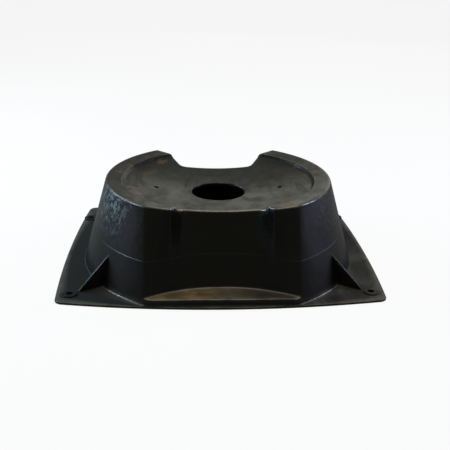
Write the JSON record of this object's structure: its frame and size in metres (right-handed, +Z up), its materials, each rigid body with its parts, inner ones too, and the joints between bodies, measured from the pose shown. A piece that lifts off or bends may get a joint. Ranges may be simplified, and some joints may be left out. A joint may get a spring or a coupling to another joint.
{
  "type": "filter base pedestal",
  "caption": "Open-bottomed round pedestal with a dished seat, recessed front wall and rear notch, on a thin flange with corner holes and gusset ribs.",
  "frame": {"origin": "on the floor, under the middle of the flange's bounding box", "axes": "+Z up through the bore, -Y towards the recessed front wall, +X to the right seen from the front"},
  "size_m": [0.4962, 0.4305, 0.1375],
  "materials": {
    "black_plastic": "satin black moulding, lightly scuffed"
  },
  "bodies": {
    "root": {"pedestal": "black_plastic"}
  },
  "joints": []
}
